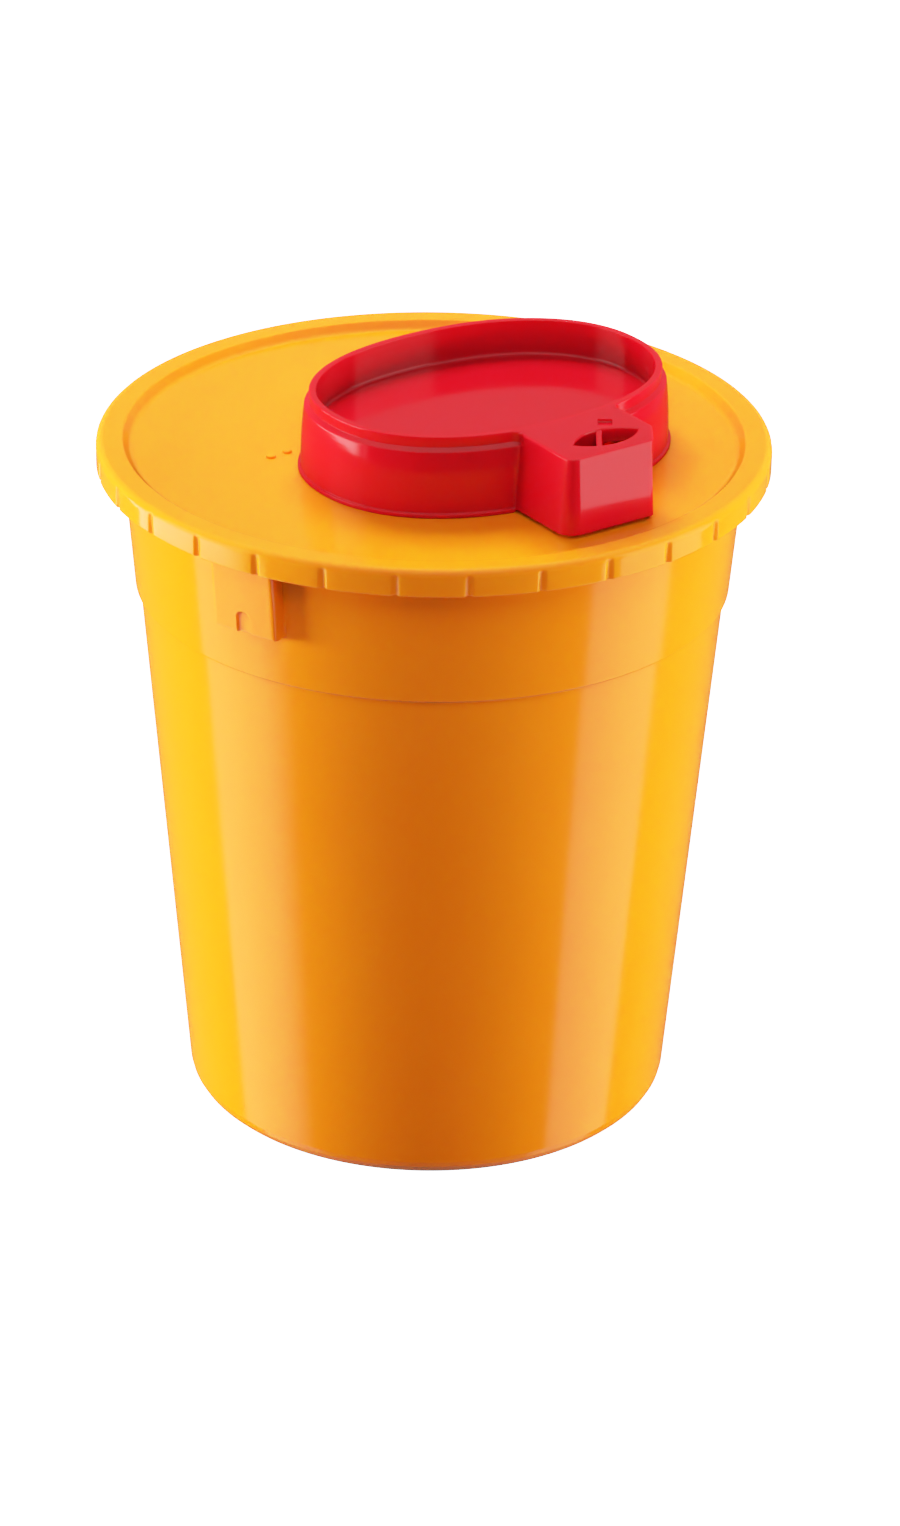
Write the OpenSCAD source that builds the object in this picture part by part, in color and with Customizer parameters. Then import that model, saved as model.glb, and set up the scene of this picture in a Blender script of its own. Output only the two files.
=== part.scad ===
// Sharps container: a round tapered bucket, a press-on lid and a press-on needle-remover cap.
// Millimetres, +Z up. The origin is the centre of the base, on the surface it stands on.
// The cap is off centre, with its beak towards the front right (+X, -Y).

/* [Container body] */
// Outer radius at the base
base_r = 81.9; // [60:0.1:95]
// Growth of the outer radius for each millimetre of height
taper = 0.0865; // [0.02:0.0005:0.1]
// Wall thickness
wall = 1.6; // [1.2:0.1:2.4]
// Height of the fill-level step
step_z = 185; // [120:1:195]
// How far the band above the step stands out
step_out = 1.5; // [0.5:0.1:2]
// Height of the lower edge of the two handle pads
pad_z = 203; // [196:0.5:210]
// How far a handle pad stands out of the band
pad_out = 5.2; // [3:0.1:5.5]
// Direction of the first handle pad, from +X
pad_dir = 235.7; // [180:0.1:260]

/* [Lid] */
// Outer radius of the skirt
lid_r = 112; // [111:0.1:114]
// Height of the top of the rim
rim_z = 237; // [236:0.1:240]
// Depth of the panel below the rim
panel_drop = 3; // [2:0.1:4]
// Height of the skirt
skirt_h = 9; // [7:0.1:10]
// Number of grip panels around the skirt
grips = 30; // [12:6:60]
// Thickness of the lid
lid_t = 1.8; // [1.4:0.1:2]

/* [Cap] */
// Centre of the oval, along X
cap_x = 17; // [5:0.5:20]
// Centre of the oval, along Y
cap_y = -7.8; // [-12:0.1:0]
// Direction of the oval's long axis, from +X
cap_dir = 35; // [0:1:60]
// Half length of the oval
cap_a = 63.1; // [60:0.1:67]
// Half width of the oval
cap_b = 46.5; // [44:0.1:49]
// Height of the cap above the lid panel
cap_h = 27; // [25:0.5:32]
// Depth of the tray
tray_d = 12.2; // [8:0.1:13]
// Distance from the oval's centre to the beak's front face
beak_reach = 73.3; // [68:0.1:75]
// Width of the beak
beak_w = 39.5; // [36:0.5:42]
// Length of the needle slot
slot_l = 25.6; // [20:0.1:27]
// Width of the needle slot
slot_w = 11.8; // [8:0.1:12]

/* [Hidden] */
$fn = 180;

floor_t = 2;        // base thickness
foot_in = 62;       // inner edge of the foot ring
recess_h = 2;       // height of the panel inside the foot ring
edge_r = 6.5;       // radius around the bottom edge
mouth_z = rim_z - lid_t;       // top of the body's lip, under the lid's channel
panel_z = rim_z - panel_drop;  // top of the lid's panel
skirt_z = rim_z - skirt_h;     // bottom of the lid's skirt
skirt_in = lid_r - 2;          // inside of the skirt
lip_in = lid_r - 6.7;          // inside of the body's lip
gap = 0.3;          // clearance where the mouldings slide past each other
grip_r = 2.2;       // radius of the groove between two grip panels
grip_depth = 0.9;   // depth of that groove
oval_n = 2.2;       // exponent of the oval outline: 2 is an ellipse
edge_h = 3.8;       // height of the set-in edge around the oval's top
edge_in_by = 1.5;   // how far that edge is set in
cap_t = 1.2;        // wall thickness of the cap
collar_t = 1.1;     // wall thickness of the lid's collar
tray_t = 1;         // wall thickness of the tray
collar_out_by = cap_t + gap;                // the collar's faces, in from the cap's outside
collar_in_by = collar_out_by + collar_t;
tray_out_by = collar_in_by + gap;           // the tray wall's faces, in from the cap's outside
tray_in_by = tray_out_by + tray_t;
collar_h = 21.6;    // height of the lid's collar above the panel
channel_h = 22;     // top of the cap's channel, which the collar stands in
beak_u = 0.5;       // beak's middle, along the oval's long axis
beak_r = 3.4;       // radius of the beak's left front corner
beak_root = 30;     // where the beak's outline starts, inside the oval
beak_cut_u = 6.9;   // cut across its right front corner: its length along the front
beak_cut_v = 9.8;   // and its length along the side
beak_gap = 1.6;     // gap between the beak and the lid's panel
plate_t = 1.8;      // thickness of the beak's top
slot_u = 2;         // slot's centre along the oval's long axis
slot_v = 63;        // slot's centre out from the oval's centre

// Outer radius of the bucket at height z, below the step
function side_r(z) = base_r + taper * z;

// Points of an arc about (x, y), from angle a0 to angle a1
function arc(x, y, r, a0, a1, n = 8) =
    [for (i = [0:n]) let (a = a0 + (a1 - a0) * i / n) [x + r * cos(a), y + r * sin(a)]];

// One coordinate of a superellipse
function super(c) = sign(c) * pow(abs(c), 2 / oval_n);

// Oval outline, drawn in by the distance t
module oval(t) {
    polygon([for (i = [0:95]) let (a = 360 * i / 96)
        [(cap_a - t) * super(cos(a)), (cap_b - t) * super(sin(a))]]);
}

// Beak outline, drawn in by the distance t
module beak(t) {
    w = beak_w / 2 - t;
    r = beak_r - t;
    y = beak_reach - t;
    spare = beak_cut_u + beak_cut_v - norm([beak_cut_u, beak_cut_v]);
    cut_u = beak_cut_u - spare * t / beak_cut_v;
    cut_v = beak_cut_v - spare * t / beak_cut_u;
    translate([beak_u, 0]) polygon(concat(
        [[w, -beak_root], [-w, -beak_root]],
        arc(-w + r, -y + r, r, 180, 270),
        [[w - cut_u, -y], [w, -y + cut_v]]));
}

module outline(t) {
    oval(t);
    beak(t);
}

// Pointed slot: the overlap of two discs, grown by t
module slot_shape(t) {
    half_l = slot_l / 2;
    half_w = slot_w / 2;
    r = (half_l * half_l + half_w * half_w) / (2 * half_w);
    translate([slot_u, -slot_v]) intersection() {
        translate([0, r - half_w]) circle(r + t);
        translate([0, half_w - r]) circle(r + t);
    }
}

// Places the cap's own frame on the lid's panel
module on_panel() {
    translate([cap_x, cap_y, panel_z]) rotate(cap_dir) children();
}

// Raised pad for one end of a handle, with an arched socket open at the bottom
module handle_pad() {
    half_a = 6.8;     // half of the angle that the pad spans
    arch_r = 2.5;
    arch_z = pad_z + 5.8;
    arch_depth = 0.8;
    r_in = side_r(pad_z) + step_out - wall / 2;
    r_out = side_r(pad_z) + step_out + pad_out;
    difference() {
        rotate(-half_a) rotate_extrude(angle = 2 * half_a) polygon([
            [r_in, pad_z],
            [r_out - 1, pad_z],
            [r_out, pad_z + 1],
            [r_out + taper * (skirt_z - pad_z), skirt_z + 0.8],
            [r_in + taper * (skirt_z - pad_z), skirt_z + 0.8]]);
        translate([r_out - arch_depth, 0, arch_z]) rotate([90, 0, 90]) linear_extrude(5) arch(arch_r);
    }
}

// Upright arch: a square foot with a round head
module arch(r) {
    circle(r, $fn = 48);
    translate([-r, -8]) square([2 * r, 8]);
}

module container_body() color("#f59c14") {
    band = base_r + step_out;   // radius the upper band would have at the base
    r_edge = side_r(edge_r) - edge_r;
    r_foot = foot_in - 2;
    rotate_extrude() polygon(concat(
        [[0, recess_h], [r_foot, recess_h], [foot_in, 0]],
        arc(r_edge, edge_r, edge_r, 270, 360),
        [[side_r(step_z), step_z],
         [band + taper * (step_z + 1), step_z + 1],
         [band + taper * (skirt_z + 0.4), skirt_z + 0.4],
         [skirt_in - 0.6, skirt_z + 0.6],
         [skirt_in - 0.6, skirt_z + 2.2],
         [lip_in + wall, skirt_z + 2.2],
         [lip_in + wall, mouth_z - 2.6],
         [lip_in + wall + 1.3, mouth_z - 2],
         [lip_in + wall + 1.3, mouth_z - 1],
         [lip_in + wall + 0.3, mouth_z],
         [lip_in + 0.5, mouth_z],
         [lip_in, mouth_z - 0.5],
         [lip_in, skirt_z + 2.6],
         [band - wall + taper * (skirt_z - 0.4), skirt_z - 0.4],
         [band - wall + taper * (step_z + 1), step_z + 1],
         [side_r(step_z) - wall, step_z]],
        arc(r_edge, edge_r, edge_r - wall, 360, 270),
        [[foot_in, floor_t - 0.1], [r_foot, recess_h + floor_t], [0, recess_h + floor_t]]));
    for (turn = [0, 180]) rotate(pad_dir + turn) handle_pad();
}

module lid() color("#fbb022") {
    bead_r = 2.4;
    ridge_in = lip_in + wall + 1.3 + 0.2;   // inside of the snap ridge
    plug_out = side_r(skirt_z - 4) + step_out - wall - 0.4;
    plug_z = skirt_z - 3;
    rim_in = lid_r - 8.5;
    under = panel_z - lid_t;
    difference() {
        rotate_extrude() polygon(concat(
            [[0, under], [plug_out - 1.6, under], [plug_out - 1.4, plug_z],
             [plug_out - 0.4, plug_z], [plug_out, plug_z + 1], [plug_out, under],
             [rim_in + 0.1, under], [lip_in - gap, mouth_z], [skirt_in - 1, mouth_z],
             [skirt_in, mouth_z - 1], [skirt_in, skirt_z + 4.2], [ridge_in, skirt_z + 3.8],
             [ridge_in, skirt_z + 3.2], [skirt_in, skirt_z + 2.5], [skirt_in, skirt_z],
             [lid_r - 0.8, skirt_z], [lid_r - 0.4, skirt_z + 0.4], [lid_r, rim_z - bead_r]],
            arc(lid_r - bead_r, rim_z - bead_r, bead_r, 10, 90),
            [[rim_in, rim_z], [rim_in - 0.7, rim_z - 0.4], [rim_in - 1.4, panel_z + 0.3],
             [rim_in - 2.2, panel_z], [0, panel_z]]));
        on_panel() translate([0, 0, -10]) linear_extrude(20) outline(collar_in_by);
        for (i = [0:grips - 1]) rotate(270 + (i + 0.5) * 360 / grips)
            translate([lid_r + grip_r - grip_depth, 0, skirt_z - 1])
                cylinder(h = skirt_h - 0.6, r = grip_r, $fn = 32);
    }
    on_panel() translate([0, 0, -lid_t]) linear_extrude(collar_h + lid_t) difference() {
        outline(collar_out_by);
        outline(collar_in_by);
    }
    // Gate pips on the panel
    for (p = [[-53.6, -14.7], [-48.4, -10.3]])
        translate([p.x, p.y, panel_z - 0.5]) cylinder(h = 0.9, r = 1.1, $fn = 32);
}

module cap() color("#d3182b") on_panel() {
    foot_h = 1.5;
    foot_out = 2;
    rim_t = 1.2;         // wall of the rim under the slot
    notch = [4.8, 5.2];
    notch_h = 1.1;
    bar_t = 1.9;
    bar_h = 4.5;
    bar_below = 0.3;     // bar's top edge, below the cap's top
    difference() {
        union() {
            linear_extrude(foot_h) oval(-foot_out);
            linear_extrude(cap_h - edge_h) oval(0);
            linear_extrude(cap_h) oval(edge_in_by);
            translate([0, 0, beak_gap]) linear_extrude(cap_h - beak_gap) beak(0);
        }
        // Channel for the lid's collar, open to the beak
        difference() {
            translate([0, 0, -1]) linear_extrude(channel_h + 1) outline(cap_t);
            translate([0, 0, cap_h - tray_d - cap_t]) linear_extrude(cap_h) oval(tray_out_by);
        }
        // Tray
        translate([0, 0, cap_h - tray_d]) linear_extrude(cap_h) oval(tray_in_by);
        // Room under the beak's top
        translate([0, 0, channel_h - 1]) linear_extrude(cap_h - plate_t - channel_h + 1)
            difference() {
                beak(cap_t);
                oval(tray_out_by);
            }
        translate([0, 0, cap_h - 5]) linear_extrude(10) slot_shape(0);
        // Shallow notch behind the slot, at an angle to it
        translate([9, -53.1, cap_h]) rotate(-cap_dir) cube([notch.x, notch.y, 2 * notch_h], center = true);
    }
    // Rim under the slot
    translate([0, 0, channel_h + 0.2]) linear_extrude(cap_h - plate_t - channel_h + 0.3)
        difference() {
            slot_shape(rim_t);
            slot_shape(0);
        }
    // Slanting bar across the slot, which catches a needle's hub
    translate([0, 0, cap_h - bar_below - bar_h]) linear_extrude(bar_h) intersection() {
        slot_shape(rim_t / 2);
        translate([-0.9, -63.5]) rotate(-cap_dir) square([bar_t, 2 * slot_w], center = true);
    }
}

container_body();
lid();
cap();
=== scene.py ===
"""Looks of the sharps container: bucket, segmented lid and red needle-remover cap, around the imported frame.

Sizes are in millimetres until a mesh is made, and heights are above the surface that the bucket stands on.
"""
import math

import bmesh
import bpy
import numpy as np
from mathutils import Matrix, Vector


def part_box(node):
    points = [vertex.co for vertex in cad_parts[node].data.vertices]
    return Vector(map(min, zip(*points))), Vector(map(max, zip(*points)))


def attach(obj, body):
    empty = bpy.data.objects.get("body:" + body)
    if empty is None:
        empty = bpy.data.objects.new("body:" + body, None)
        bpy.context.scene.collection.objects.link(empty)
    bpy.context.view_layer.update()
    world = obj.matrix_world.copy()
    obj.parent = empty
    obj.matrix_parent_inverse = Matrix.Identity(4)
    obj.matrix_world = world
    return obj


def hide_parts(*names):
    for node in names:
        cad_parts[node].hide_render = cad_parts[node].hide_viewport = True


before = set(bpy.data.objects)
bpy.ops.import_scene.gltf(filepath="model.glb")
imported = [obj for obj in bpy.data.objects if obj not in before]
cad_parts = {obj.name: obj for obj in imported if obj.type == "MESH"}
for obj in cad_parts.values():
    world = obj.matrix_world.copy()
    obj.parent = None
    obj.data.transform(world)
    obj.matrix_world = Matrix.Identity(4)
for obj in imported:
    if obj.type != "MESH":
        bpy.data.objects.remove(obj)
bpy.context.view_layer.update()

MM = 0.001

# ---------------------------------------------------------------- sizes from the frame

BODY_LO, BODY_HI = (np.array(c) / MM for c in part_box("container_body"))
LID_LO, LID_HI = (np.array(c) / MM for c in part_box("lid"))
CAP_LO, CAP_HI = (np.array(c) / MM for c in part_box("cap"))

LID_T = 1.8                          # thickness of the lid
LIP_Z = BODY_HI[2]                   # top of the bucket's lip
RIM_Z = LIP_Z + LID_T                # top of the lid's rim
PANEL_Z = CAP_LO[2]                  # top of the lid's panel, which the cap stands on
SKIRT_Z = RIM_Z - 9                  # bottom of the lid's skirt
LID_R = round(float(LID_HI[0]), 1)   # outer radius of the skirt
SKIRT_IN = LID_R - 2                 # inside of the skirt
RIM_IN = LID_R - 8.5                 # inner edge of the raised rim
LIP_IN = LID_R - 6.7                 # inside of the bucket's lip
GRIPS = 30                           # grip panels around the skirt
GROOVE_W, GROOVE_D = 1.8, 1.0        # half width and depth of the grooves between them
PIPS = ((-53.6, -14.7), (-48.4, -10.3))   # gate marks on the panel

WALL = 1.6                           # wall of the bucket
TAPER = 0.0865                       # growth of its radius with height
BASE_R = 81.9                        # its outer radius at the base
STEP_Z = 185                         # height of the fill-level step
STEP_OUT = 1.5                       # how far the band above it stands out
EDGE_R = 6.5                         # radius around the bottom edge
FOOT_IN = 62                         # inner edge of the foot ring
RECESS = 2                           # height of the panel inside the foot ring

PAD_DIR = math.radians(235.7)        # direction of the first handle pad, from +X
PAD_HALF_W = 12                      # half width of a pad
PAD_Z = 203                          # height of a pad's lower edge
PAD_OUT = 5.2                        # how far a pad stands out of the band
ARCH_R = 2.5                         # radius of the arched socket in a pad
ARCH_Z = 208.8                       # height of the middle of the arch's round head
ARCH_DEPTH = 0.8                     # how deep the arch goes into the pad

CAP_X, CAP_Y = 17, -7.8              # centre of the cap's oval
CAP_DIR = math.radians(35)           # direction of the oval's long axis
CAP_A, CAP_B = 63.1, 46.5            # half length and half width of the oval
OVAL_N = 2.2                         # exponent of the oval outline
CAP_H = CAP_HI[2] - PANEL_Z          # height of the cap above the panel
TRAY_H = CAP_H - 12.2                # height of the tray's floor above the panel
BEAK_U = 0.5                         # middle of the beak along the long axis
BEAK_W = 39.5                        # width of the beak
BEAK_REACH = 73.3                    # beak's front face, from the oval's centre
BEAK_R = 3.4                         # radius of the beak's corners
BEAK_CUT = (6.9, 9.8)                # cut across its right front corner, along front and side
BEAK_GAP = 1.6                       # gap between the beak and the panel
BEAK_FILLET = 2.6                    # radius where the beak leaves the oval
BEAK_BLEND = 5.0                     # length over which the oval's section turns into the beak's
COLLAR_H = 21.6                      # height of the lid's collar above the panel
COLLAR_OUT, COLLAR_IN = 1.5, 2.6     # collar's faces, in from the cap's outline
TRAY_OUT, TRAY_IN = 2.9, 3.9         # tray wall's faces, in from the cap's outline
EDGE_H, EDGE_IN = 3.8, 1.5           # height and inset of the edge around the oval's top
DRAFT = math.tan(math.radians(2))    # lean of the oval's outside, low
TOP_DRAFT = math.tan(math.radians(7))   # and at its top
BEAK_DRAFT = math.tan(math.radians(4.4))   # lean of the beak's front and left side
SLOT_U, SLOT_V = 2, 63               # centre of the needle slot, in the cap's frame
SLOT_L, SLOT_W = 25.6, 11.8          # its length and width
PLATE_T = 1.8                        # thickness of the beak's top
TRAY_T = 1.4                         # thickness of the tray's floor


# ---------------------------------------------------------------- outlines and meshes

def rounded(path, closed=False, steps=5):
    """Points of an (x, y, fillet) path, each corner turned into an arc of steps + 1 points."""
    out = []
    count = len(path)
    for i, (x, y, radius) in enumerate(path):
        corner = np.array((x, y), float)
        if radius == 0 or (not closed and i in (0, count - 1)):
            out.append(corner)
            continue
        back = np.array(path[i - 1][:2], float) - corner
        ahead = np.array(path[(i + 1) % count][:2], float) - corner
        len_back, len_ahead = np.linalg.norm(back), np.linalg.norm(ahead)
        back, ahead = back / len_back, ahead / len_ahead
        half = math.acos(max(-1, min(1, back @ ahead))) / 2
        cut = min(radius / math.tan(half), 0.48 * len_back, 0.48 * len_ahead)
        radius = cut * math.tan(half)
        bisector = (back + ahead) / np.linalg.norm(back + ahead)
        centre = corner + bisector * radius / math.sin(half)
        start, end = corner + back * cut - centre, corner + ahead * cut - centre
        turn = math.pi - 2 * half
        for k in range(steps + 1):
            f = k / steps
            out.append(centre + (start * math.sin((1 - f) * turn) + end * math.sin(f * turn)) / math.sin(turn))
    return np.array(out)


def densified(points, spacing):
    """The same path with no gap longer than spacing(x, y) at the gap's middle."""
    out = [points[0]]
    for a, b in zip(points[:-1], points[1:]):
        pieces = max(1, math.ceil(np.linalg.norm(b - a) / spacing(*(a + b) / 2)))
        out += [a + (b - a) * k / pieces for k in range(1, pieces + 1)]
    return np.array(out)


def held(points, near=0.2, long=1.5):
    """The same path with points near both ends of its long straight parts, to keep their shading flat."""
    out = [points[0]]
    for a, b in zip(points[:-1], points[1:]):
        size = np.linalg.norm((b - a)[:2])
        if size > long:
            out += [a + (b - a) * near / size, b - (b - a) * near / size]
        out.append(b)
    return np.array(out)


def smooth_step(x):
    x = np.clip(x, 0, 1)
    return x * x * (3 - 2 * x)


def solid(name, rings, poles=None, material=None, sharp=32):
    """Closed mesh of quads between rings of points. Without poles, the last ring joins the first."""
    rings = np.asarray(rings, float)
    rows, cols = rings.shape[:2]
    verts = rings.reshape(-1, 3)
    k = np.arange(cols)
    k1 = (k + 1) % cols
    faces = []
    for i in range(rows if poles is None else rows - 1):
        a, b = i * cols, ((i + 1) % rows) * cols
        faces += np.stack((a + k, a + k1, b + k1, b + k), 1).tolist()
    if poles is not None:
        first, last = len(verts), len(verts) + 1
        verts = np.vstack((verts, poles))
        end = (rows - 1) * cols
        faces += np.stack((k1, k, np.full(cols, first)), 1).tolist()
        faces += np.stack((end + k, end + k1, np.full(cols, last)), 1).tolist()
    mesh = bpy.data.meshes.new(name)
    mesh.from_pydata((verts * MM).tolist(), [], faces)
    obj = bpy.data.objects.new(name, mesh)
    bpy.context.scene.collection.objects.link(obj)
    finish_mesh(obj, sharp)
    if material:
        mesh.materials.append(material)
    return obj


def finish_mesh(obj, sharp=32):
    """Outward normals, smooth shading, and sharp edges where faces turn by more than sharp degrees."""
    mesh = obj.data
    bm = bmesh.new()
    bm.from_mesh(mesh)
    bmesh.ops.recalc_face_normals(bm, faces=bm.faces)
    bm.to_mesh(mesh)
    bm.free()
    mesh.shade_smooth()
    mesh.set_sharp_from_angle(angle=math.radians(sharp))


def boolean(obj, other, operation):
    """Applies a boolean of obj with other, and deletes other."""
    modifier = obj.modifiers.new("cut", "BOOLEAN")
    modifier.operation = operation
    modifier.solver = "EXACT"
    modifier.object = other
    depsgraph = bpy.context.evaluated_depsgraph_get()
    mesh = bpy.data.meshes.new_from_object(obj.evaluated_get(depsgraph))
    obj.modifiers.clear()
    obj.data = mesh
    bpy.data.objects.remove(other)


def circle_ring(radius, z, angles):
    radius = np.broadcast_to(radius, angles.shape)
    return np.stack((radius * np.cos(angles), radius * np.sin(angles), np.broadcast_to(z, angles.shape)), 1)


# ---------------------------------------------------------------- bucket

PAD_EDGE = (0, 0.06, 0.16, 0.3, 0.48, 0.7, 1.0, 1.4, 1.9)   # mesh lines in from a pad's edge


def pad_field(angle, z):
    """How far the handle pads stand out at a direction and height."""
    band_r = BASE_R + STEP_OUT + TAPER * z
    out = np.zeros(angle.shape)
    for middle in (PAD_DIR, PAD_DIR + math.pi):
        turn = (angle - middle + math.pi) % (2 * math.pi) - math.pi
        across = band_r * np.sin(turn)
        near = np.abs(turn) < 0.5
        corner = 1.2
        qx = np.abs(across) - PAD_HALF_W + corner
        qz = PAD_Z + corner - z
        inside = np.minimum(np.maximum(qx, qz), 0) + np.hypot(np.maximum(qx, 0), np.maximum(qz, 0)) - corner
        rise = np.clip(-inside / PAD_EDGE[-1], 0, 1)
        flat = PAD_OUT + 0.5 * band_r * (1 / np.maximum(np.cos(turn), 0.5) - 1)
        stand = flat * (1 - (1 - rise) ** 5)
        leg = np.hypot(across, np.maximum(z - ARCH_Z, 0))
        cut = smooth_step((ARCH_R - leg) / 0.5 + 0.5) * ARCH_DEPTH
        out = np.where(near, np.maximum(stand - np.where(rise > 0, cut, 0), 0), out)
    return out


def bucket_columns():
    """Directions of the bucket's columns, close together across the pads' edges and arches."""
    columns = set(np.round(np.linspace(0, 2 * math.pi, 180, endpoint=False), 6))
    band_r = BASE_R + STEP_OUT + TAPER * (PAD_Z + 10)
    rim = PAD_HALF_W - np.array((-0.6, *PAD_EDGE, 2.6))
    fine = np.concatenate((np.arange(-3.5, 3.51, 0.25), rim, -rim))
    for middle in (PAD_DIR, PAD_DIR + math.pi):
        lo, hi = middle - 14 / band_r, middle + 14 / band_r
        turns = (0, 2 * math.pi, -2 * math.pi)
        columns = {c for c in columns if not any(lo < c + turn < hi for turn in turns)}
        columns |= {round(float((middle + math.asin(s / band_r)) % (2 * math.pi)), 6) for s in fine}
        coarse = (-8.5, -7, -5.5, 5.5, 7, 8.5)
        columns |= {round(float((middle + s / band_r) % (2 * math.pi)), 6) for s in coarse}
    return np.array(sorted(columns))


def make_bucket(material):
    def side(z):
        return BASE_R + TAPER * z

    def band(z):
        return side(z) + STEP_OUT

    edge = side(EDGE_R)
    arch_rows = np.arange(PAD_Z + 2.2, ARCH_Z + ARCH_R + 1, 0.3)
    pad_rows = [PAD_Z - 0.6, *(PAD_Z + d for d in PAD_EDGE), *arch_rows, ARCH_Z + 8]
    path = [
        (0.5, RECESS, 0), (FOOT_IN - 2, RECESS, 1), (FOOT_IN, 0, 1),
        (edge - 0.5, 0, EDGE_R), (side(STEP_Z), STEP_Z, 0.5), (band(STEP_Z + 1), STEP_Z + 1, 0.6),
        *((band(z), z, 0) for z in pad_rows),
        (band(SKIRT_Z + 0.4), SKIRT_Z + 0.4, 0.4), (SKIRT_IN - 0.6, SKIRT_Z + 0.6, 0.4),
        (SKIRT_IN - 0.6, SKIRT_Z + 2.2, 0.5), (LIP_IN + WALL, SKIRT_Z + 2.2, 0.6),
        (LIP_IN + WALL, LIP_Z - 2.6, 0.4), (LIP_IN + WALL + 1.3, LIP_Z - 2, 0.4),
        (LIP_IN + WALL + 1.3, LIP_Z - 1, 0.4), (LIP_IN + WALL + 0.3, LIP_Z, 0.4),
        (LIP_IN + 0.5, LIP_Z, 0.3), (LIP_IN, LIP_Z - 0.5, 0.3),
        (LIP_IN, SKIRT_Z + 2.6, 2), (band(SKIRT_Z - 0.4) - WALL, SKIRT_Z - 0.4, 2),
        (band(STEP_Z + 1) - WALL, STEP_Z + 1, 0.5), (side(STEP_Z) - WALL, STEP_Z, 0.5),
        (edge - 0.5 - WALL, RECESS, EDGE_R - WALL), (FOOT_IN, RECESS - 0.1, 1),
        (FOOT_IN - 2, 2 * RECESS, 1), (0.5, 2 * RECESS, 0),
    ]
    profile = densified(held(rounded(path)), lambda r, z: 9)
    angles = bucket_columns()
    rings = []
    for r, z in profile:
        on_outside = PAD_Z - 2 < z < SKIRT_Z + 0.5 and r > band(z) - 0.3
        grow = pad_field(angles, z) if on_outside else 0
        rings.append(circle_ring(r + grow, z, angles))
    bucket = solid("bucket_shell", rings, [(0, 0, RECESS), (0, 0, 2 * RECESS)], material)
    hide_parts("container_body")
    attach(bucket, "container_body")
    return bucket


# ---------------------------------------------------------------- the cap's outline

def super_point(angle, grow=0.0):
    """Point of the oval in the cap's frame, moved out along the normal by grow."""
    c, s = np.cos(angle), np.sin(angle)
    x = CAP_A * np.sign(c) * np.abs(c) ** (2 / OVAL_N)
    y = CAP_B * np.sign(s) * np.abs(s) ** (2 / OVAL_N)
    nx = np.sign(x) * np.abs(x / CAP_A) ** (OVAL_N - 1) / CAP_A
    ny = np.sign(y) * np.abs(y / CAP_B) ** (OVAL_N - 1) / CAP_B
    size = np.hypot(nx, ny)
    normal = np.stack((nx / size, ny / size), -1)
    return np.stack((x, y), -1) + normal * np.asarray(grow)[..., None]


def beak_foot(side):
    """The oval's angle where the fillet between oval and beak starts, and the fillet's centre."""
    x = BEAK_U + side * (BEAK_W / 2 + BEAK_FILLET)
    angles = np.radians(np.arange(200, 340, 0.02))
    ring = super_point(angles)
    lo, hi = -BEAK_REACH, -20.0
    for _ in range(50):
        y = (lo + hi) / 2
        distance = np.hypot(ring[:, 0] - x, ring[:, 1] - y).min()
        outside = abs(x / CAP_A) ** OVAL_N + abs(y / CAP_B) ** OVAL_N > 1
        if outside and distance > BEAK_FILLET:
            lo = y
        else:
            hi = y
    nearest = np.hypot(ring[:, 0] - x, ring[:, 1] - y).argmin()
    return angles[nearest], np.array((x, y))


def way_along(points):
    """Distance of each point of a line from the line's start."""
    return np.concatenate(([0], np.cumsum(np.hypot(*np.diff(points, axis=0).T))))


def cap_outline():
    """Closed line around oval and beak: points, way along it, the oval's angle at each, and 1 on the beak."""
    left_a, left_c = beak_foot(-1)
    right_a, right_c = beak_foot(1)
    oval_a = np.linspace(right_a, left_a + 2 * math.pi, 1500)
    points = [super_point(oval_a)]
    angle = [oval_a]
    weight = [np.zeros(len(oval_a))]

    def fillet(centre, start, end):
        a0 = math.atan2(*(start - centre)[::-1])
        a1 = math.atan2(*(end - centre)[::-1])
        turn = (a1 - a0 + math.pi) % (2 * math.pi) - math.pi
        a = np.linspace(a0, a0 + turn, 24)
        return centre + BEAK_FILLET * np.stack((np.cos(a), np.sin(a)), 1)

    left_x, right_x = BEAK_U - BEAK_W / 2, BEAK_U + BEAK_W / 2
    leave = fillet(left_c, super_point(left_a), np.array((left_x, left_c[1])))
    enter = fillet(right_c, np.array((right_x, right_c[1])), super_point(right_a))
    nose = rounded([
        (left_x, left_c[1], 0), (left_x, -BEAK_REACH, BEAK_R), (right_x - BEAK_CUT[0], -BEAK_REACH, BEAK_R / 2),
        (right_x, BEAK_CUT[1] - BEAK_REACH, BEAK_R), (right_x, right_c[1], 0),
    ], steps=16)
    beak = np.vstack((leave[1:], densified(nose, lambda x, y: 0.5)[1:], enter[1:-1]))
    run = way_along(np.vstack((points[0][-1:], beak, points[0][:1])))
    share = run[1:-1] / run[-1]
    points.append(beak)
    angle.append(left_a + 2 * math.pi + (right_a - left_a) * share)
    weight.append(smooth_step(np.minimum(run[1:-1], run[-1] - run[1:-1]) / BEAK_BLEND))
    points, angle, weight = np.vstack(points), np.concatenate(angle), np.concatenate(weight)
    closed = np.vstack((points, points[:1]))
    arc_run = way_along(closed)
    angle = np.concatenate((angle, [angle[0] + 2 * math.pi]))
    weight = np.concatenate((weight, [0]))
    return closed, arc_run, angle, weight


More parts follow.
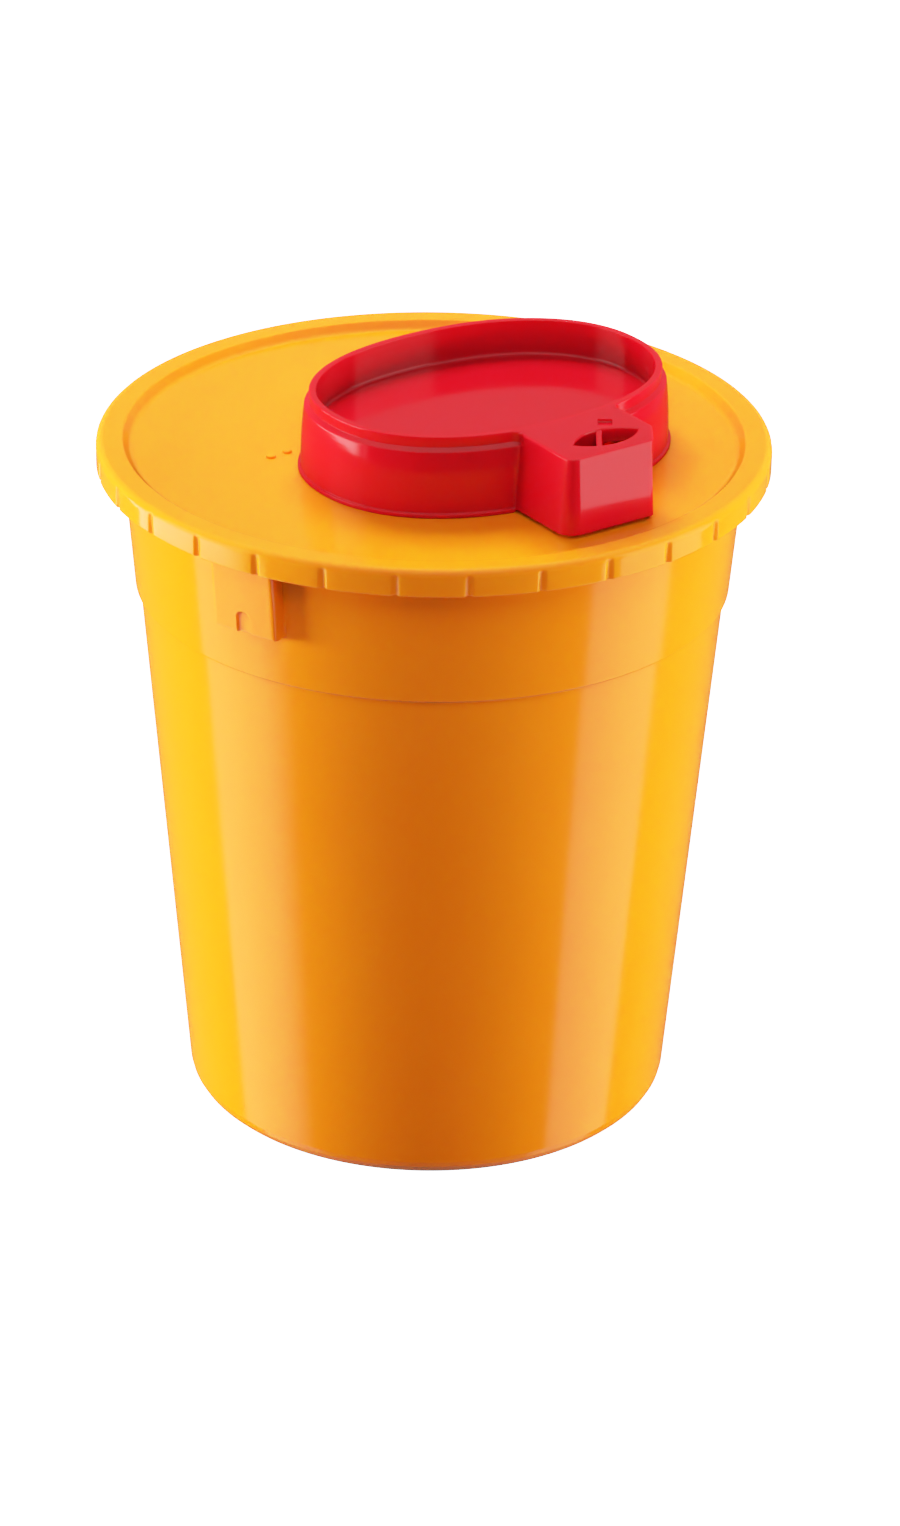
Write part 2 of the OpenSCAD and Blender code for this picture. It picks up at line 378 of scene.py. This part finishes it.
class Outline:
    """The cap's outline at chosen arc positions, in the cap's frame."""

    def __init__(self, positions=None, count=None):
        closed, run, angle, weight = cap_outline()
        self.total = run[-1]
        if positions is None:
            positions = np.linspace(0, run[-1], count, endpoint=False)
        self.points = np.stack([np.interp(positions, run, closed[:, i]) for i in (0, 1)], 1)
        before = np.stack([np.interp((positions - 0.3) % run[-1], run, closed[:, i]) for i in (0, 1)], 1)
        after = np.stack([np.interp((positions + 0.3) % run[-1], run, closed[:, i]) for i in (0, 1)], 1)
        along = after - before
        along /= np.linalg.norm(along, axis=1)[:, None]
        self.normals = np.stack((along[:, 1], -along[:, 0]), 1)
        self.angle = np.interp(positions, run, angle)
        self.weight = np.interp(positions, run, weight)
        self.lean = 1 - smooth_step(self.normals[:, 0] / 0.6)

    def ring(self, inset, height, oval=0.0):
        """Ring set in from the outline at a height above the panel. With oval at 1 it leaves out the beak."""
        inset = np.broadcast_to(np.asarray(inset, float), self.angle.shape)
        xy = self.points - self.normals * inset[:, None]
        if oval:
            xy = xy * (1 - oval) + super_point(self.angle, -inset) * oval
        return place_on_panel(xy, height)


def place_on_panel(xy, height):
    """Points in the cap's frame to the row frame."""
    c, s = math.cos(CAP_DIR), math.sin(CAP_DIR)
    x = CAP_X + c * xy[..., 0] - s * xy[..., 1]
    y = CAP_Y + s * xy[..., 0] + c * xy[..., 1]
    return np.stack((x, y, PANEL_Z + np.broadcast_to(height, x.shape)), -1)


# ---------------------------------------------------------------- lid

def lid_columns():
    """Directions of the lid's columns, close together across the grooves, starting at -Y."""
    pitch = 2 * math.pi / GRIPS
    groove = np.linspace(-GROOVE_W, GROOVE_W, 15) / LID_R
    between = np.linspace(groove[-1], pitch + groove[0], 8)[1:-1]
    one = np.concatenate((groove, between))
    return np.concatenate([(i + 0.5) * pitch + one for i in range(GRIPS)]) - math.pi / 2


def groove_depth(angles):
    """Depth of the grooves between grip panels."""
    pitch = 2 * math.pi / GRIPS
    turn = (angles + math.pi / 2) % pitch - pitch / 2
    across = np.abs(turn) * LID_R
    return GROOVE_D * (0.5 + 0.5 * np.cos(math.pi * np.clip(across / GROOVE_W, 0, 1)))


def make_lid(material):
    angles = lid_columns()
    whole = Outline(count=2000)
    xy = place_on_panel(whole.points, 0)
    seen = np.unwrap(np.arctan2(xy[:, 1], xy[:, 0]))
    start = seen[0]
    position = np.linspace(0, whole.total, 2000, endpoint=False)
    mixed = 0.35 * (seen - start) / (2 * math.pi) + 0.65 * position / whole.total
    wanted = ((angles - start) / (2 * math.pi)) % 1
    hole = Outline(positions=np.interp(wanted, np.append(mixed, 1), np.append(position, whole.total)))
    order = np.argsort(wanted)

    under = PANEL_Z - LID_T
    plug_z = SKIRT_Z - 3
    plug_out = BASE_R + TAPER * (SKIRT_Z - 4) + STEP_OUT - WALL - 0.4
    ridge_in = LIP_IN + WALL + 1.5
    collar = held(rounded([
        (COLLAR_IN, -LID_T, 0), (COLLAR_IN, COLLAR_H, 0.5), (COLLAR_OUT, COLLAR_H, 0.5), (COLLAR_OUT, 0, 0.5),
        (COLLAR_OUT - 1.2, 0, 0),
    ]))
    rim = densified(held(rounded([
        (RIM_IN - 6, PANEL_Z, 0), (RIM_IN - 2.9, PANEL_Z, 2.6), (RIM_IN - 0.3, RIM_Z, 1.2),
        (LID_R, RIM_Z, 2.4), (LID_R - 0.05, SKIRT_Z, 0.6), (SKIRT_IN, SKIRT_Z, 0.4),
        (SKIRT_IN, SKIRT_Z + 2.5, 0.3), (ridge_in, SKIRT_Z + 3.2, 0.3), (ridge_in, SKIRT_Z + 3.8, 0.3),
        (SKIRT_IN, SKIRT_Z + 4.2, 0.3), (SKIRT_IN, LIP_Z, 0.8), (LIP_IN - 0.3, LIP_Z, 0.4),
        (RIM_IN + 0.1, under, 0.8), (plug_out, under, 0.3), (plug_out, plug_z + 1, 0.5),
        (plug_out - 0.4, plug_z, 0.3), (plug_out - 1.4, plug_z, 0.3), (plug_out - 1.6, under, 0.5),
        (plug_out - 3, under, 0),
    ])), lambda r, z: 0.6 if r > SKIRT_IN + 0.5 and z < RIM_Z - 0.1 else 8)

    rings = [hole.ring(t, h) for t, h in collar]
    inner, outer = rings[-1], circle_ring(rim[0][0], PANEL_Z, angles)
    rings += [inner + (outer - inner) * f for f in np.linspace(0, 1, 9)[1:-1]]
    groove = groove_depth(angles)
    for r, z in rim:
        on_skirt = r > SKIRT_IN + 0.5
        fade = smooth_step((RIM_Z - 1.2 - z) / 1.4) * (0.55 + 0.05 * (RIM_Z - z)) if on_skirt else 0
        rings.append(circle_ring(r - groove * fade, z, angles))
    inner, outer = circle_ring(rim[-1][0], under, angles), rings[0]
    rings += [inner + (outer - inner) * f for f in np.linspace(0, 1, 7)[1:-1]]
    lid = solid("lid_shell", np.array(rings)[:, order])
    for x, y in PIPS:
        pip = rounded([(1.6, -0.5, 0), (1.5, 0.75, 0.5), (0.4, 0.8, 0)])
        turn = np.linspace(0, 2 * math.pi, 24, endpoint=False)
        dome = [circle_ring(r, PANEL_Z + h, turn) + (x, y, 0) for r, h in pip]
        boolean(lid, solid("pip_tool", dome, [(x, y, PANEL_Z - 0.5), (x, y, PANEL_Z + 0.8)]), "UNION")
    finish_mesh(lid)
    lid.data.materials.clear()
    lid.data.materials.append(material)
    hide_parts("lid")
    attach(lid, "lid")
    return lid


# ---------------------------------------------------------------- cap

def cap_rows():
    """Rows of the cap's section: inset and height on the oval, the same on the beak, and 1 on the bare oval."""
    rows = []
    edge_z = CAP_H - EDGE_H
    plate_z = CAP_H - PLATE_T
    floor_z = TRAY_H - TRAY_T

    def oval_wall(h):
        """The wall's inset, with a lean that grows from DRAFT at a height of 10 to TOP_DRAFT under the edge."""
        bend = edge_z - 1 - 10
        up = np.clip((h - 10) / bend, 0, 1)
        return (h - edge_z + 1) * DRAFT - (TOP_DRAFT - DRAFT) * bend / 2 * (1 - up ** 2)

    def beak_wall(h):
        return (h - CAP_H) * BEAK_DRAFT

    def both(on_oval, on_beak, oval=0):
        rows.extend((*a, *b, oval) for a, b in zip(on_oval, on_beak))

    tray = rounded([(20, TRAY_H, 0), (TRAY_IN, TRAY_H, 1.1), (TRAY_IN, CAP_H, 0.8), (TRAY_IN - 0.9, CAP_H, 0)])
    both(tray, tray, 1)
    for f in (0.85, 0.68, 0.5, 0.32, 0.15):
        on_oval = EDGE_IN + 0.9 + (TRAY_IN - EDGE_IN - 1.8) * f
        rows.append((on_oval, CAP_H, 1.5 + (TRAY_IN - 2.4) * f, CAP_H, f))
    both(
        rounded([(EDGE_IN + 0.9, CAP_H, 0), (EDGE_IN, CAP_H, 0.7), (EDGE_IN + 0.05, edge_z + 0.2, 0.2),
                 (0, edge_z - 1.0, 0.8), (oval_wall(20), 20, 0)]),
        rounded([(1.5, CAP_H, 0), (0, CAP_H, 0.9), (beak_wall(edge_z) + 0.02, edge_z + 0.3, 0.1),
                 (beak_wall(edge_z), edge_z, 0.1), (beak_wall(20), 20, 0)]))
    for h in (18, 16, 14, 12, 10):
        rows.append((oval_wall(h), h, beak_wall(h), h, 0))
    rows.append((oval_wall(8), 8, beak_wall(8), 8, 0))
    foot = rounded([
        (oval_wall(8), 8, 0), (oval_wall(1.5), 1.5, 0.9), (-2.0, 1.5, 0.6), (-2.0, 0, 0.35), (0.8, 0, 0)])
    for t, h in foot[1:]:
        k = BEAK_GAP + 0.35 * h + 0.02 * min(t, 0)
        rows.append((t, h, t if t > 0 else beak_wall(k), k, 0))
    both(
        rounded([(0.8, 0, 0), (1.2, 0, 0.3), (1.2, 21, 0.3), (1.4, 22, 0.1), (1.7, 22, 0)])[1:],
        rounded([(0.8, BEAK_GAP, 0), (1.2, BEAK_GAP, 0.3), (1.2, 21.5, 0.3), (1.35, 22.6, 0.3),
                 (1.5, plate_z, 0)])[1:])
    for f in (0.2, 0.4, 0.6, 0.8):
        rows.append((1.7 + 0.9 * f, 22, 1.5 + 1.1 * f, plate_z, f))
    both(
        rounded([(2.6, 22, 0), (TRAY_OUT, 22, 0.2), (TRAY_OUT, floor_z, 1.0), (20, floor_z, 0)]),
        rounded([(2.6, plate_z, 0), (TRAY_OUT, plate_z, 0.2), (TRAY_OUT, floor_z, 1.0), (20, floor_z, 0)]), 1)
    return held(np.array(rows))


def slot_prism(grow, low, high, flare=0.0):
    """Pointed prism of the needle slot, wider by flare at its top."""
    half_l, half_w = SLOT_L / 2, SLOT_W / 2
    radius = (half_l ** 2 + half_w ** 2) / (2 * half_w)
    reach = math.atan2(half_l, radius - half_w)
    a = np.linspace(-reach, reach, 25)
    rear = np.stack((radius * np.sin(a), radius * np.cos(a) - radius + half_w), 1)
    lens = np.vstack((rear, -rear[1:-1]))
    size = np.hypot(lens[:, 0] / half_l, lens[:, 1] / half_w)[:, None]
    levels = [(low, 0), (high, 0)]
    if flare:
        levels[1:] = [(high - 2 * flare - 0.3, 0), (high - 0.3 - flare, 0.15), (high - 0.3, 1), (high, 1.6)]
    rings = []
    for h, f in levels:
        out = grow + flare * f
        scaled = lens * ((np.array((half_l, half_w)) + out * np.array((1.6, 1))) / np.array((half_l, half_w)))
        rings.append(place_on_panel(scaled + np.array((SLOT_U, -SLOT_V)), h))
    ends = [place_on_panel(np.array((SLOT_U, -SLOT_V), float), h) for h in (low, high)]
    return solid("slot_tool", rings, ends)


def slab(name, middle, half, low, high, radius=0.4):
    """Upright block with rounded corners in the cap's frame, with its sides along X and Y."""
    w, d = half
    c, s = math.cos(-CAP_DIR), math.sin(-CAP_DIR)
    turn = np.array(((c, s), (-s, c)))
    block = rounded([(-w, -d, radius), (w, -d, radius), (w, d, radius), (-w, d, radius)], True, 4)
    ring = np.array(middle) + block @ turn
    shrink = np.array(middle) + (block * (1 - 0.3 / np.array(half))) @ turn
    levels = ((shrink, low), (ring, low + 0.3), (ring, high - 0.3), (shrink, high))
    rings = [place_on_panel(line, height) for line, height in levels]
    ends = [place_on_panel(np.array(middle, float), h) for h in (low, high)]
    return solid(name, rings, ends)


def make_cap(material):
    outline = Outline(count=640)
    w = outline.weight
    rings = []
    for t, h, u, k, oval in cap_rows():
        inset = u * outline.lean if u < 0 else u
        rings.append(outline.ring(t * (1 - w) + inset * w, h * (1 - w) + k * w, oval))
    for share in (0.75, 0.45):
        for index, height in ((0, TRAY_H), (-1, TRAY_H - TRAY_T)):
            ring = rings[index].copy()
            middle = place_on_panel(np.zeros(2), height)
            ring = middle + (ring - middle) * share
            rings.insert(0 if index == 0 else len(rings), ring)
    ends = [place_on_panel(np.zeros(2), h) for h in (TRAY_H, TRAY_H - TRAY_T)]
    cap = solid("cap_shell", rings, ends)
    plate = CAP_H - PLATE_T
    boolean(cap, slot_prism(1.2, plate - 3, plate + 0.5), "UNION")
    boolean(cap, slot_prism(0, plate - 5, CAP_H + 0.3, 0.35), "DIFFERENCE")
    boolean(cap, slab("notch_tool", (9.0, -53.1), (2.4, 2.6), CAP_H - 1.1, CAP_H + 1, 0.3), "DIFFERENCE")
    bar = slab("bar_tool", (-0.9, -63.5), (0.95, SLOT_W), CAP_H - 4.8, CAP_H - 0.3, 0.2)
    boolean(bar, slot_prism(0.6, CAP_H - 6, CAP_H), "INTERSECT")
    boolean(cap, bar, "UNION")
    finish_mesh(cap)
    cap.data.materials.clear()
    cap.data.materials.append(material)
    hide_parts("cap")
    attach(cap, "cap")
    return cap


# ---------------------------------------------------------------- materials

def plastic(name, color, deep, radius, scatter, roughness, fine, shine=0.5, dim=0.0):
    """Moulded glossy plastic that lets a little light in: faint flow marks, fine grain and uneven gloss.

    dim is how much darker it looks where another part mirrors it.
    """
    material = bpy.data.materials.new(name)
    material.use_nodes = True
    nodes, links = material.node_tree.nodes, material.node_tree.links
    shader = nodes["Principled BSDF"]
    place = nodes.new("ShaderNodeTexCoord")

    def noise(scale, detail, stretch=(1, 1, 1)):
        mapping = nodes.new("ShaderNodeMapping")
        mapping.inputs["Scale"].default_value = stretch
        texture = nodes.new("ShaderNodeTexNoise")
        texture.inputs["Scale"].default_value = scale
        texture.inputs["Detail"].default_value = detail
        links.new(place.outputs["Object"], mapping.inputs["Vector"])
        links.new(mapping.outputs["Vector"], texture.inputs["Vector"])
        return texture.outputs["Fac"]

    def ramp(source, low, high):
        node = nodes.new("ShaderNodeMapRange")
        node.inputs["From Min"].default_value = 0.3
        node.inputs["From Max"].default_value = 0.7
        node.inputs["To Min"].default_value = low
        node.inputs["To Max"].default_value = high
        links.new(source, node.inputs["Value"])
        return node.outputs["Result"]

    cloud = noise(14, 3)
    mix = nodes.new("ShaderNodeMix")
    mix.data_type = "RGBA"
    mix.inputs["A"].default_value = (*color, 1)
    mix.inputs["B"].default_value = (*deep, 1)
    links.new(ramp(cloud, 0.0, 0.35), mix.inputs["Factor"])
    links.new(mix.outputs["Result"], shader.inputs["Base Color"])
    links.new(ramp(noise(45, 4, (1, 1, 0.25)), roughness * 0.85, roughness * 1.2), shader.inputs["Roughness"])
    shader.inputs["IOR"].default_value = 1.49
    shader.inputs["Specular IOR Level"].default_value = shine
    shader.inputs["Subsurface Weight"].default_value = scatter
    shader.inputs["Subsurface Radius"].default_value = radius
    shader.inputs["Subsurface Scale"].default_value = MM
    wave = nodes.new("ShaderNodeBump")
    wave.inputs["Strength"].default_value = 0.25
    wave.inputs["Distance"].default_value = 0.6 * MM
    links.new(noise(22, 1, (1, 1, 0.35)), wave.inputs["Height"])
    grain = nodes.new("ShaderNodeBump")
    grain.inputs["Strength"].default_value = fine
    grain.inputs["Distance"].default_value = 0.05 * MM
    links.new(noise(1400, 2), grain.inputs["Height"])
    links.new(wave.outputs["Normal"], grain.inputs["Normal"])
    links.new(grain.outputs["Normal"], shader.inputs["Normal"])
    # Painted darker reflection: for glossy rays this plastic is partly swapped for a near-black matte, so other
    # parts mirror it darker.
    if dim:
        path = nodes.new("ShaderNodeLightPath")
        share = nodes.new("ShaderNodeMath")
        share.operation = "MULTIPLY"
        share.inputs[1].default_value = dim
        dark = nodes.new("ShaderNodeBsdfDiffuse")
        dark.inputs["Color"].default_value = (0.02, 0.002, 0.001, 1)
        both = nodes.new("ShaderNodeMixShader")
        links.new(path.outputs["Is Glossy Ray"], share.inputs[0])
        links.new(share.outputs["Value"], both.inputs["Fac"])
        links.new(shader.outputs["BSDF"], both.inputs[1])
        links.new(dark.outputs["BSDF"], both.inputs[2])
        links.new(both.outputs["Shader"], nodes["Material Output"].inputs["Surface"])
    return material


# ---------------------------------------------------------------- stage, light and camera

def node_tree(owner):
    """Empty node tree of a material or world, with its nodes and links."""
    owner.use_nodes = True
    owner.node_tree.nodes.clear()
    return owner.node_tree.nodes, owner.node_tree.links


WHITE = 2.5                          # brightness that the view shows as white
SHOULDER = ((0.3, 0.3), (0.57, 0.57), (0.81, 0.67), (1.19, 0.81), (1.74, 0.94))   # brightness, and as shown


def make_floor():
    """Plain pale floor, bright to the camera, which the object doesn't mirror."""
    size = 6.0
    mesh = bpy.data.meshes.new("floor")
    corners = [(-size, -size, 0), (size, -size, 0), (size, size, 0), (-size, size, 0)]
    mesh.from_pydata(corners, [], [(0, 1, 2, 3)])
    floor = bpy.data.objects.new("floor", mesh)
    bpy.context.scene.collection.objects.link(floor)
    material = bpy.data.materials.new("floor_white")
    nodes, links = node_tree(material)
    out = nodes.new("ShaderNodeOutputMaterial")
    matte = nodes.new("ShaderNodeBsdfDiffuse")
    matte.inputs["Color"].default_value = (0.25, 0.25, 0.25, 1)
    glow = nodes.new("ShaderNodeEmission")
    glow.inputs["Strength"].default_value = WHITE * 1.2
    both = nodes.new("ShaderNodeMixShader")
    path = nodes.new("ShaderNodeLightPath")
    share = nodes.new("ShaderNodeMath")
    share.operation = "MULTIPLY"
    share.inputs[1].default_value = 0.93
    links.new(path.outputs["Is Camera Ray"], share.inputs[0])
    links.new(share.outputs["Value"], both.inputs["Fac"])
    links.new(matte.outputs["BSDF"], both.inputs[1])
    links.new(glow.outputs["Emission"], both.inputs[2])
    links.new(both.outputs["Shader"], out.inputs["Surface"])
    mesh.materials.append(material)
    floor.visible_glossy = False


def fill_light(name, azimuth, elevation, distance, size, power):
    """Large soft light that doesn't show in the object's gloss. Azimuth 0 is the camera's side, + is right."""
    light = bpy.data.lights.new(name, "AREA")
    light.shape = "RECTANGLE"
    light.size, light.size_y = size
    light.energy = power
    obj = bpy.data.objects.new(name, light)
    a, e = math.radians(azimuth), math.radians(elevation)
    middle = Vector((0, 0, 0.13))
    away = Vector((math.sin(a) * math.cos(e), -math.cos(a) * math.cos(e), math.sin(e)))
    obj.location = middle + distance * away
    obj.rotation_euler = (middle - obj.location).to_track_quat("-Z", "Y").to_euler()
    obj.visible_glossy = False
    bpy.context.scene.collection.objects.link(obj)


def gloss_card(
        name, azimuth_in, azimuth_out, soft_in, strength_in, strength_out, radius=2.2, low=-3.0, high=1.6):
    """Tall curved softbox that shows only in the object's gloss, from azimuth_in, near the camera, outwards."""
    degrees = np.linspace(azimuth_in, azimuth_out, 40)
    verts, faces = [], []
    for d in degrees:
        a = math.radians(d)
        verts += [(radius * math.sin(a), -radius * math.cos(a), z) for z in (low, high)]
    for i in range(len(degrees) - 1):
        faces.append((2 * i, 2 * i + 2, 2 * i + 3, 2 * i + 1))
    mesh = bpy.data.meshes.new(name)
    mesh.from_pydata(verts, [], faces)
    glow = mesh.attributes.new("glow", "FLOAT", "POINT")
    across = (degrees - azimuth_in) / (azimuth_out - azimuth_in)
    level = (strength_in + (strength_out - strength_in) * across) * smooth_step(across / soft_in)
    glow.data.foreach_set("value", np.repeat(level, 2).astype(np.float32))
    obj = bpy.data.objects.new(name, mesh)
    bpy.context.scene.collection.objects.link(obj)
    material = bpy.data.materials.new(name)
    nodes, links = node_tree(material)
    out = nodes.new("ShaderNodeOutputMaterial")
    emit = nodes.new("ShaderNodeEmission")
    value = nodes.new("ShaderNodeAttribute")
    value.attribute_name = "glow"
    links.new(value.outputs["Fac"], emit.inputs["Strength"])
    links.new(emit.outputs["Emission"], out.inputs["Surface"])
    material.cycles.emission_sampling = "NONE"
    mesh.materials.append(material)
    obj.visible_camera = obj.visible_diffuse = obj.visible_shadow = obj.visible_transmission = False


# What the gloss shows of the surroundings: levels added up, each changing along an axis.
GLOSS_LEVELS = (
    ("Z", -0.1, 0.35, 0.03, 0.14),
    ("Y", 0.2, 0.8, 0, 0.13),
    ("Z", 0.55, 0.95, 0, 0.5),
    ("Z", -0.7, -0.95, 0, 0.5),
)


def make_world():
    """White surroundings for the camera, an even fill for the object, and dim ones in its gloss."""
    world = bpy.data.worlds.new("studio")
    bpy.context.scene.world = world
    nodes, links = node_tree(world)
    out = nodes.new("ShaderNodeOutputWorld")
    path = nodes.new("ShaderNodeLightPath")

    def background(strength):
        node = nodes.new("ShaderNodeBackground")
        node.inputs["Strength"].default_value = strength
        return node.outputs["Background"], node

    def choose(switch, off, on):
        node = nodes.new("ShaderNodeMixShader")
        links.new(switch, node.inputs["Fac"])
        links.new(off, node.inputs[1])
        links.new(on, node.inputs[2])
        return node.outputs["Shader"]

    gloss, gloss_node = background(0.1)
    place = nodes.new("ShaderNodeTexCoord")
    split = nodes.new("ShaderNodeSeparateXYZ")
    links.new(place.outputs["Generated"], split.inputs["Vector"])
    total = None
    for axis, start, end, low, high in GLOSS_LEVELS:
        rise = nodes.new("ShaderNodeMapRange")
        rise.interpolation_type = "SMOOTHSTEP"
        rise.inputs["From Min"].default_value = start
        rise.inputs["From Max"].default_value = end
        rise.inputs["To Min"].default_value = low
        rise.inputs["To Max"].default_value = high
        links.new(split.outputs[axis], rise.inputs["Value"])
        level = rise.outputs["Result"]
        if total:
            add = nodes.new("ShaderNodeMath")
            links.new(total, add.inputs[0])
            links.new(level, add.inputs[1])
            level = add.outputs["Value"]
        total = level
    links.new(total, gloss_node.inputs["Strength"])
    fill, _ = background(0.23)
    white, _ = background(WHITE * 1.05)
    unseen = choose(path.outputs["Is Glossy Ray"], fill, gloss)
    links.new(choose(path.outputs["Is Camera Ray"], unseen, white), out.inputs["Surface"])


def make_camera():
    """Long lens from the front, looking down by 26 degrees."""
    distance, elevation, roll = 1.792, math.radians(26.008), math.radians(0.736)
    target = Vector((0, 0, 0.12398))
    camera = bpy.data.cameras.new("camera")
    camera.sensor_fit = "AUTO"
    camera.sensor_width = 36
    camera.lens = 5259.873 / 1526 * 36
    camera.shift_x = 0.01295
    camera.shift_y = -0.01507
    obj = bpy.data.objects.new("camera", camera)
    obj.location = target + distance * Vector((0, -math.cos(elevation), math.sin(elevation)))
    look = (target - obj.location).to_track_quat("-Z", "Y").to_matrix().to_4x4()
    obj.matrix_world = Matrix.Translation(obj.location) @ look @ Matrix.Rotation(roll, 4, "Z")
    bpy.context.scene.collection.objects.link(obj)
    bpy.context.scene.camera = obj


def set_view():
    """Plain view transform with a soft shoulder, as in a camera: values over 0.57 are held back."""
    view = bpy.context.scene.view_settings
    view.view_transform = "Standard"
    view.use_curve_mapping = True
    mapping = view.curve_mapping
    mapping.white_level = (WHITE, WHITE, WHITE)
    curve = mapping.curves[3]
    for value, shown in SHOULDER:
        point = curve.points.new(value / WHITE, shown)
        point.handle_type = "AUTO"
    mapping.update()


def main():
    orange = plastic(
        "orange_polypropylene", (0.93, 0.19, 0.003), (0.88, 0.165, 0.002), (6, 2.2, 0.3), 0.35, 0.12, 0.04)
    amber = plastic(
        "lid_polypropylene", (0.95, 0.215, 0.005), (0.92, 0.19, 0.004), (6, 2.6, 0.4), 0.5, 0.09, 0.04,
        dim=0.75)
    red = plastic(
        "red_polypropylene", (0.49, 0.003, 0.010), (0.44, 0.002, 0.009), (5, 0.6, 0.6), 0.6, 0.11, 0.04,
        shine=0.85)
    make_bucket(orange)
    make_lid(amber)
    make_cap(red)
    make_floor()
    make_world()
    fill_light("left_fill", -102, 2.5, 1.5, (1.2, 0.5), 128)
    fill_light("right_fill", 98, 2.5, 1.5, (1.2, 0.5), 88)
    fill_light("top_fill", -170, 56, 1.4, (0.9, 0.6), 43)
    fill_light("front_fill", 0, 50, 1.6, (1.0, 0.7), 15)
    gloss_card("left_card", -54, -101, 0.35, 1.3, 1.4)
    gloss_card("left_high_card", -62, -116, 0.25, 3.4, 3.4, 2.15, -0.72, 0.2)
    gloss_card("right_card", 62, 101, 0.06, 1.35, 1.1)
    make_camera()
    set_view()


main()
